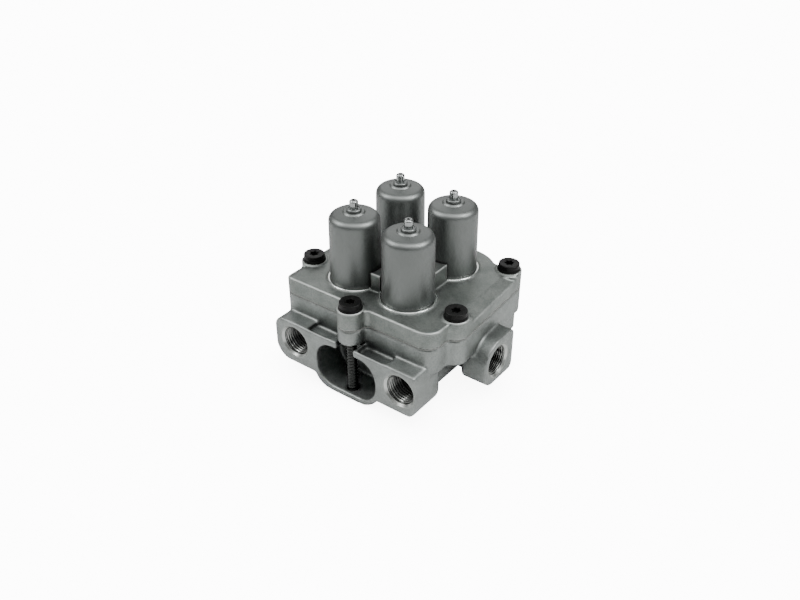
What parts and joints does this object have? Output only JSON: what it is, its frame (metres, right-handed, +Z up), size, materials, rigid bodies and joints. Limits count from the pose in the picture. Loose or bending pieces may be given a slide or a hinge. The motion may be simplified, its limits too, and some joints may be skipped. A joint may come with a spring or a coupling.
{
  "type": "four circuit protection valve",
  "caption": "Air brake protection valve: a die-cast body and cover with spring-loaded circuits under round caps, threaded ports, and adjusting screws.",
  "frame": {"origin": "centre of the resting face, below the middle of the overall box", "axes": "+Z up along the spring caps, -Y towards the face with two ports, +X to the right seen from there"},
  "size_m": [0.1642, 0.1392, 0.1313],
  "materials": {
    "cast_body": "die-cast, matt, with machined port faces",
    "cast_cover": "die-cast, matt",
    "cap_metal": "satin, smooth",
    "gasket_fibre": "matt",
    "seal_rubber": "matt",
    "diaphragm_rubber": "matt",
    "black_steel": "black, semi-matt",
    "zinc_steel": "bright zinc plated",
    "spring_steel": "oiled, dark",
    "pressed_steel": "plain",
    "seat_brass": "turned"
  },
  "bodies": {
    "housing": {"lower_body": "cast_body", "housing_gasket": "gasket_fibre", "upper_housing": "cast_cover", "housing_screws": "black_steel", "long_housing_screw": "black_steel", "spring_cap_front_left": "cap_metal", "cap_seal_front_left": "seal_rubber", "lock_nut_front_left": "zinc_steel", "main_spring_front_left": "spring_steel", "diaphragm_front_left": "diaphragm_rubber", "valve_seat_front_left": "seat_brass", "spring_cap_front_right": "cap_metal", "cap_seal_front_right": "seal_rubber", "lock_nut_front_right": "zinc_steel", "main_spring_front_right": "spring_steel", "diaphragm_front_right": "diaphragm_rubber", "valve_seat_front_right": "seat_brass", "spring_cap_rear_right": "cap_metal", "cap_seal_rear_right": "seal_rubber", "lock_nut_rear_right": "zinc_steel", "main_spring_rear_right": "spring_steel", "diaphragm_rear_right": "diaphragm_rubber", "valve_seat_rear_right": "seat_brass", "spring_cap_rear_left": "cap_metal", "cap_seal_rear_left": "seal_rubber", "lock_nut_rear_left": "zinc_steel", "main_spring_rear_left": "spring_steel", "diaphragm_rear_left": "diaphragm_rubber", "valve_seat_rear_left": "seat_brass", "check_spring_front": "spring_steel", "check_spring_rear": "spring_steel"},
    "spring_plate_front_left": {"upper_spring_plate_front_left": "pressed_steel"},
    "adjuster_front_left": {"adjusting_screw_front_left": "zinc_steel"},
    "piston_front_left": {"pressure_piston_front_left": "pressed_steel"},
    "spring_plate_front_right": {"upper_spring_plate_front_right": "pressed_steel"},
    "adjuster_front_right": {"adjusting_screw_front_right": "zinc_steel"},
    "piston_front_right": {"pressure_piston_front_right": "pressed_steel"},
    "spring_plate_rear_right": {"upper_spring_plate_rear_right": "pressed_steel"},
    "adjuster_rear_right": {"adjusting_screw_rear_right": "zinc_steel"},
    "piston_rear_right": {"pressure_piston_rear_right": "pressed_steel"},
    "spring_plate_rear_left": {"upper_spring_plate_rear_left": "pressed_steel"},
    "adjuster_rear_left": {"adjusting_screw_rear_left": "zinc_steel"},
    "piston_rear_left": {"pressure_piston_rear_left": "pressed_steel"},
    "check_valve_front": {"check_poppet_front": "seat_brass"},
    "check_valve_rear": {"check_poppet_rear": "seat_brass"}
  },
  "joints": [
    {"name": "adjuster_travel_front_left", "type": "slide", "parent": "housing", "child": "spring_plate_front_left", "axis": [0, 0, 1], "range_m": [-0.00187, 0.00187], "deforming": ["main_spring_front_left"]},
    {"name": "adjuster_turn_front_left", "type": "hinge", "parent": "spring_plate_front_left", "child": "adjuster_front_left", "pos_m": [-0.023, -0.0262, 0.1235], "axis": [0, 0, 1], "range_deg": [-560, 560]},
    {"name": "piston_lift_front_left", "type": "slide", "parent": "housing", "child": "piston_front_left", "axis": [0, 0, 1], "range_m": [0, 0.0025], "stiffness_N_per_m": 20000, "deforming": ["main_spring_front_left", "diaphragm_front_left"]},
    {"name": "adjuster_travel_front_right", "type": "slide", "parent": "housing", "child": "spring_plate_front_right", "axis": [0, 0, 1], "range_m": [-0.00187, 0.00187], "deforming": ["main_spring_front_right"]},
    {"name": "adjuster_turn_front_right", "type": "hinge", "parent": "spring_plate_front_right", "child": "adjuster_front_right", "pos_m": [0.023, -0.0262, 0.1235], "axis": [0, 0, 1], "range_deg": [-560, 560]},
    {"name": "piston_lift_front_right", "type": "slide", "parent": "housing", "child": "piston_front_right", "axis": [0, 0, 1], "range_m": [0, 0.0025], "stiffness_N_per_m": 20000, "deforming": ["main_spring_front_right", "diaphragm_front_right"]},
    {"name": "adjuster_travel_rear_right", "type": "slide", "parent": "housing", "child": "spring_plate_rear_right", "axis": [0, 0, 1], "range_m": [-0.00187, 0.00187], "deforming": ["main_spring_rear_right"]},
    {"name": "adjuster_turn_rear_right", "type": "hinge", "parent": "spring_plate_rear_right", "child": "adjuster_rear_right", "pos_m": [0.023, 0.0262, 0.1235], "axis": [0, 0, 1], "range_deg": [-560, 560]},
    {"name": "piston_lift_rear_right", "type": "slide", "parent": "housing", "child": "piston_rear_right", "axis": [0, 0, 1], "range_m": [0, 0.0025], "stiffness_N_per_m": 20000, "deforming": ["main_spring_rear_right", "diaphragm_rear_right"]},
    {"name": "adjuster_travel_rear_left", "type": "slide", "parent": "housing", "child": "spring_plate_rear_left", "axis": [0, 0, 1], "range_m": [-0.00187, 0.00187], "deforming": ["main_spring_rear_left"]},
    {"name": "adjuster_turn_rear_left", "type": "hinge", "parent": "spring_plate_rear_left", "child": "adjuster_rear_left", "pos_m": [-0.023, 0.0262, 0.1235], "axis": [0, 0, 1], "range_deg": [-560, 560]},
    {"name": "piston_lift_rear_left", "type": "slide", "parent": "housing", "child": "piston_rear_left", "axis": [0, 0, 1], "range_m": [0, 0.0025], "stiffness_N_per_m": 20000, "deforming": ["main_spring_rear_left", "diaphragm_rear_left"]},
    {"name": "check_lift_front", "type": "slide", "parent": "housing", "child": "check_valve_front", "axis": [0, 0, 1], "range_m": [0, 0.002], "stiffness_N_per_m": 300, "deforming": ["check_spring_front"]},
    {"name": "check_lift_rear", "type": "slide", "parent": "housing", "child": "check_valve_rear", "axis": [0, 0, 1], "range_m": [0, 0.002], "stiffness_N_per_m": 300, "deforming": ["check_spring_rear"]}
  ],
  "couplings": [
    {"joint": "adjuster_turn_front_left", "follows": "adjuster_travel_front_left", "rad_per_m": 5026.5},
    {"joint": "adjuster_turn_front_right", "follows": "adjuster_travel_front_right", "rad_per_m": 5026.5},
    {"joint": "adjuster_turn_rear_right", "follows": "adjuster_travel_rear_right", "rad_per_m": 5026.5},
    {"joint": "adjuster_turn_rear_left", "follows": "adjuster_travel_rear_left", "rad_per_m": 5026.5}
  ]
}
